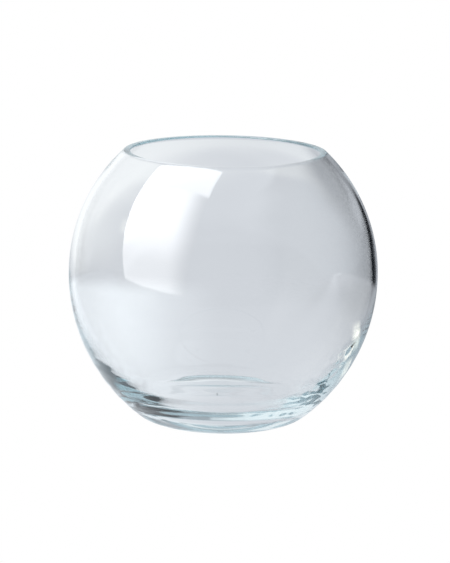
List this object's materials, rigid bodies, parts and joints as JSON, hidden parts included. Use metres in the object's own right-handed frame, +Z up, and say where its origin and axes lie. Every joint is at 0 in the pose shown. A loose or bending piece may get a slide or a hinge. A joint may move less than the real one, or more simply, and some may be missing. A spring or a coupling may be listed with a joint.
{
  "type": "rose bowl vase",
  "caption": "Clear glass rose bowl vase: a round globe with a wide open mouth, a ground level lip, a wall that thickens towards the foot and a flat foot ring, for holding water and cut flowers.",
  "frame": {"origin": "centre of the foot ring, on the surface that the bowl stands on", "axes": "+Z up along the bowl's axis of turning; X and Y are level and alike"},
  "size_m": [0.15, 0.15, 0.131],
  "materials": {
    "clear_glass": "clear polished soda glass, faint cool grey tint in the wall and blue-green where it is thick"
  },
  "bodies": {
    "root": {"glass_bowl": "clear_glass"}
  },
  "joints": []
}
